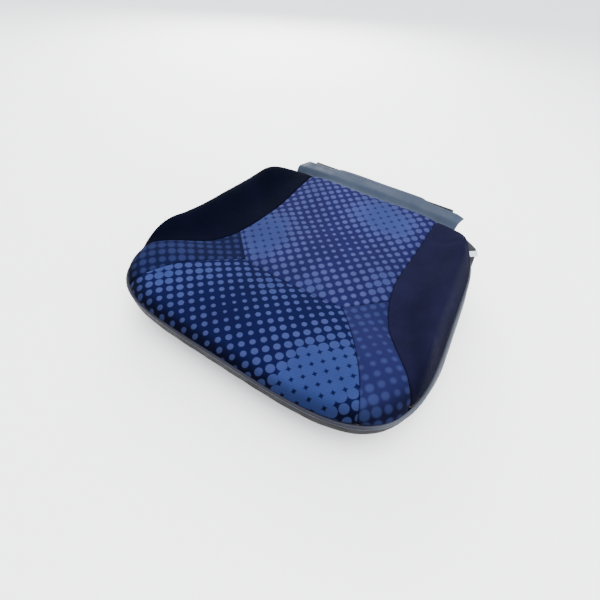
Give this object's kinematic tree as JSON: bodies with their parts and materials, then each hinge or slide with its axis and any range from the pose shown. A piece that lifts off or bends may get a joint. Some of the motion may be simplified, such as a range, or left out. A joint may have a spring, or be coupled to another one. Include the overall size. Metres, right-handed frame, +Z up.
{
  "type": "seat cushion",
  "caption": "Vehicle seat cushion: foam pad on a moulded pan, sewn dotted fabric top with side bolsters, vinyl border, piping and a fold-down rear tie flap.",
  "frame": {"origin": "middle of the flat underside of the pan, on the cushion's centre plane", "axes": "+X to the sitter's right, the front edge at -Y, +Z up out of the seat"},
  "size_m": [0.5056, 0.4955, 0.1176],
  "materials": {
    "dotted_fabric": "navy jacquard with a square lattice of pale blue dots whose size swells and shrinks, turned 45 degrees",
    "navy_fabric": "plain dark navy flat woven fabric",
    "grey_vinyl": "grey coated vinyl, fine grain, satin",
    "piping_vinyl": "lilac-grey vinyl piping",
    "foam": "moulded open-cell polyurethane foam with a skin",
    "black_plastic": "black moulded polypropylene",
    "woven_tape": "grey woven tape",
    "steel_wire": "bright drawn spring wire",
    "zinc_steel": "zinc plated steel",
    "white_label": "white woven care label, left blank"
  },
  "bodies": {
    "cushion": {"anchor_wire_front": "steel_wire", "anchor_wire_left": "steel_wire", "anchor_wire_right": "steel_wire", "bolster_left": "navy_fabric", "bolster_right": "navy_fabric", "border_front": "grey_vinyl", "border_left": "grey_vinyl", "border_right": "grey_vinyl", "centre_insert": "dotted_fabric", "edge_piping": "piping_vinyl", "foam_pad": "foam", "front_corner_left": "dotted_fabric", "front_corner_right": "dotted_fabric", "front_insert": "dotted_fabric", "hog_ring_front_1": "zinc_steel", "hog_ring_front_2": "zinc_steel", "hog_ring_front_3": "zinc_steel", "hog_ring_left_1": "zinc_steel", "hog_ring_left_2": "zinc_steel", "hog_ring_left_3": "zinc_steel", "hog_ring_left_4": "zinc_steel", "hog_ring_right_1": "zinc_steel", "hog_ring_right_2": "zinc_steel", "hog_ring_right_3": "zinc_steel", "hog_ring_right_4": "zinc_steel", "listing_sleeve_front": "woven_tape", "listing_sleeve_left": "woven_tape", "listing_sleeve_right": "woven_tape", "listing_wire_front": "steel_wire", "listing_wire_left": "steel_wire", "listing_wire_right": "steel_wire", "pan_insert_1": "zinc_steel", "pan_insert_2": "zinc_steel", "pan_insert_3": "zinc_steel", "pan_insert_4": "zinc_steel", "retainer_front": "black_plastic", "retainer_left": "black_plastic", "retainer_right": "black_plastic", "seat_pan": "black_plastic"},
    "flap": {"rear_flap": "grey_vinyl", "flap_retainer": "black_plastic"},
    "tab_right": {"corner_tab_right": "woven_tape"},
    "tab_left": {"corner_tab_left": "woven_tape"},
    "label": {"care_label": "white_label"}
  },
  "joints": [
    {"name": "rear_flap_fold", "type": "hinge", "parent": "cushion", "child": "flap", "pos_m": [0, 0.2268, 0.093], "axis": [1, 0, 0], "range_deg": [-100, 60]},
    {"name": "corner_tab_right_fold", "type": "hinge", "parent": "cushion", "child": "tab_right", "pos_m": [0.19248, 0.2262, 0.08], "axis": [0.4357, -0.5604, -0.7043], "range_deg": [-45, 35]},
    {"name": "corner_tab_left_fold", "type": "hinge", "parent": "cushion", "child": "tab_left", "pos_m": [-0.19248, 0.2262, 0.08], "axis": [-0.4357, -0.5604, -0.7043], "range_deg": [-45, 35]},
    {"name": "care_label_fold", "type": "hinge", "parent": "tab_right", "child": "label", "pos_m": [0.19272, 0.22536, 0.08082], "axis": [0.4357, -0.5604, -0.7043], "range_deg": [0, 35]}
  ]
}
